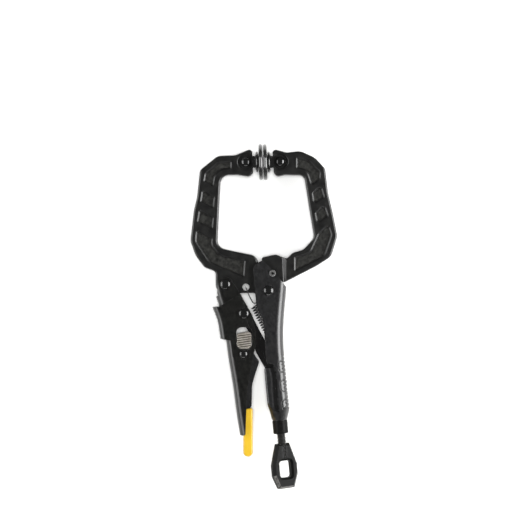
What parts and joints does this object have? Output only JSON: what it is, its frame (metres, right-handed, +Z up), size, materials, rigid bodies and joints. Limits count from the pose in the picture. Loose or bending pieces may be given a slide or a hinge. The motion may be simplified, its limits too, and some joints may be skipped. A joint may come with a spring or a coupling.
{
  "type": "locking clamp pliers",
  "caption": "Locking pliers with C-shaped cast jaws, swivel pads, a toggle lever with a quick release, and an adjusting screw with a loop head.",
  "frame": {"origin": "centre of the bounding box at its bottom, with the tool lying on its side", "axes": "+Y towards the jaws, +Z up through the tool's thickness, +X towards the fixed jaw"},
  "size_m": [0.0834, 0.1968, 0.0208],
  "materials": {
    "cast_steel": "black finish over a cast surface, satin",
    "handle_steel": "smooth satin black over folded sheet",
    "black_enamel": "semi-gloss black",
    "black_oxide": "oiled black oxide",
    "nickel_plate": "worn nickel plate",
    "yellow_vinyl": "dipped vinyl, soft sheen"
  },
  "bodies": {
    "fixed_side": {"fixed_handle": "handle_steel", "fixed_jaw": "cast_steel", "jaw_roll_pin": "black_oxide", "main_pivot_rivet": "black_enamel", "spring_anchor_pin": "black_oxide", "opening_spring": "black_oxide", "fixed_pad_rivet": "black_enamel"},
    "jaw": {"moving_jaw": "cast_steel", "moving_pad_rivet": "black_enamel"},
    "lever": {"lever_handle": "black_enamel", "lock_cover": "black_enamel", "toggle_rivet": "black_enamel", "link_rivet": "black_enamel", "release_rivet": "black_enamel", "slide_detent_spring": "black_oxide"},
    "link": {"toggle_link": "handle_steel"},
    "release": {"release_lever": "handle_steel", "release_grip": "yellow_vinyl"},
    "slide": {"lock_slide": "nickel_plate"},
    "fixed_swivel": {"fixed_pad": "cast_steel"},
    "moving_swivel": {"moving_pad": "cast_steel"},
    "tip": {"thrust_tip": "black_oxide"},
    "screw": {"adjusting_screw": "black_oxide", "screw_loop_head": "cast_steel"}
  },
  "joints": [
    {"name": "jaw_pivot", "type": "hinge", "parent": "fixed_side", "child": "jaw", "pos_m": [0.0027, 0.0147, 0.0104], "axis": [0, 0, 1], "range_deg": [0, 28], "deforming": ["opening_spring"]},
    {"name": "lever_pivot", "type": "hinge", "parent": "jaw", "child": "lever", "pos_m": [-0.0218, 0.0183, 0.0104], "axis": [0, 0, 1], "range_deg": [-76.1, 0]},
    {"name": "link_pivot", "type": "hinge", "parent": "lever", "child": "link", "pos_m": [-0.0113, 0.0017, 0.0104], "axis": [0, 0, 1], "range_deg": [0, 79.1]},
    {"name": "moving_pad_swivel", "type": "hinge", "parent": "jaw", "child": "moving_swivel", "pos_m": [-0.01025, 0.08775, 0.0104], "axis": [0, 0, 1], "range_deg": [-14, 0]},
    {"name": "fixed_pad_swivel", "type": "hinge", "parent": "fixed_side", "child": "fixed_swivel", "pos_m": [0.00925, 0.08805, 0.0104], "axis": [0, 0, 1], "range_deg": [0, 14]},
    {"name": "screw_feed", "type": "slide", "parent": "fixed_side", "child": "tip", "axis": [0.0924, -0.9957, 0], "range_m": [0, 0.00801]},
    {"name": "screw_turn", "type": "hinge", "parent": "tip", "child": "screw", "pos_m": [0.0103, -0.07213, 0.0104], "axis": [0.0924, -0.9957, 0], "range_deg": [0, 3600]},
    {"name": "release_pivot", "type": "hinge", "parent": "lever", "child": "release", "pos_m": [-0.0115, -0.0212, 0.0104], "axis": [0, 0, 1], "range_deg": [0, 5]},
    {"name": "lock_slide_travel", "type": "slide", "parent": "lever", "child": "slide", "axis": [0, 1, 0], "range_m": [0, 0.0016]}
  ],
  "couplings": [
    {"joint": "lever_pivot", "follows": "jaw_pivot", "ratio": -2.714},
    {"joint": "link_pivot", "follows": "jaw_pivot", "ratio": 2.82},
    {"joint": "moving_pad_swivel", "follows": "jaw_pivot", "ratio": -0.5},
    {"joint": "fixed_pad_swivel", "follows": "jaw_pivot", "ratio": 0.5},
    {"joint": "screw_feed", "follows": "screw_turn", "m_per_rad": 0.00012732}
  ]
}
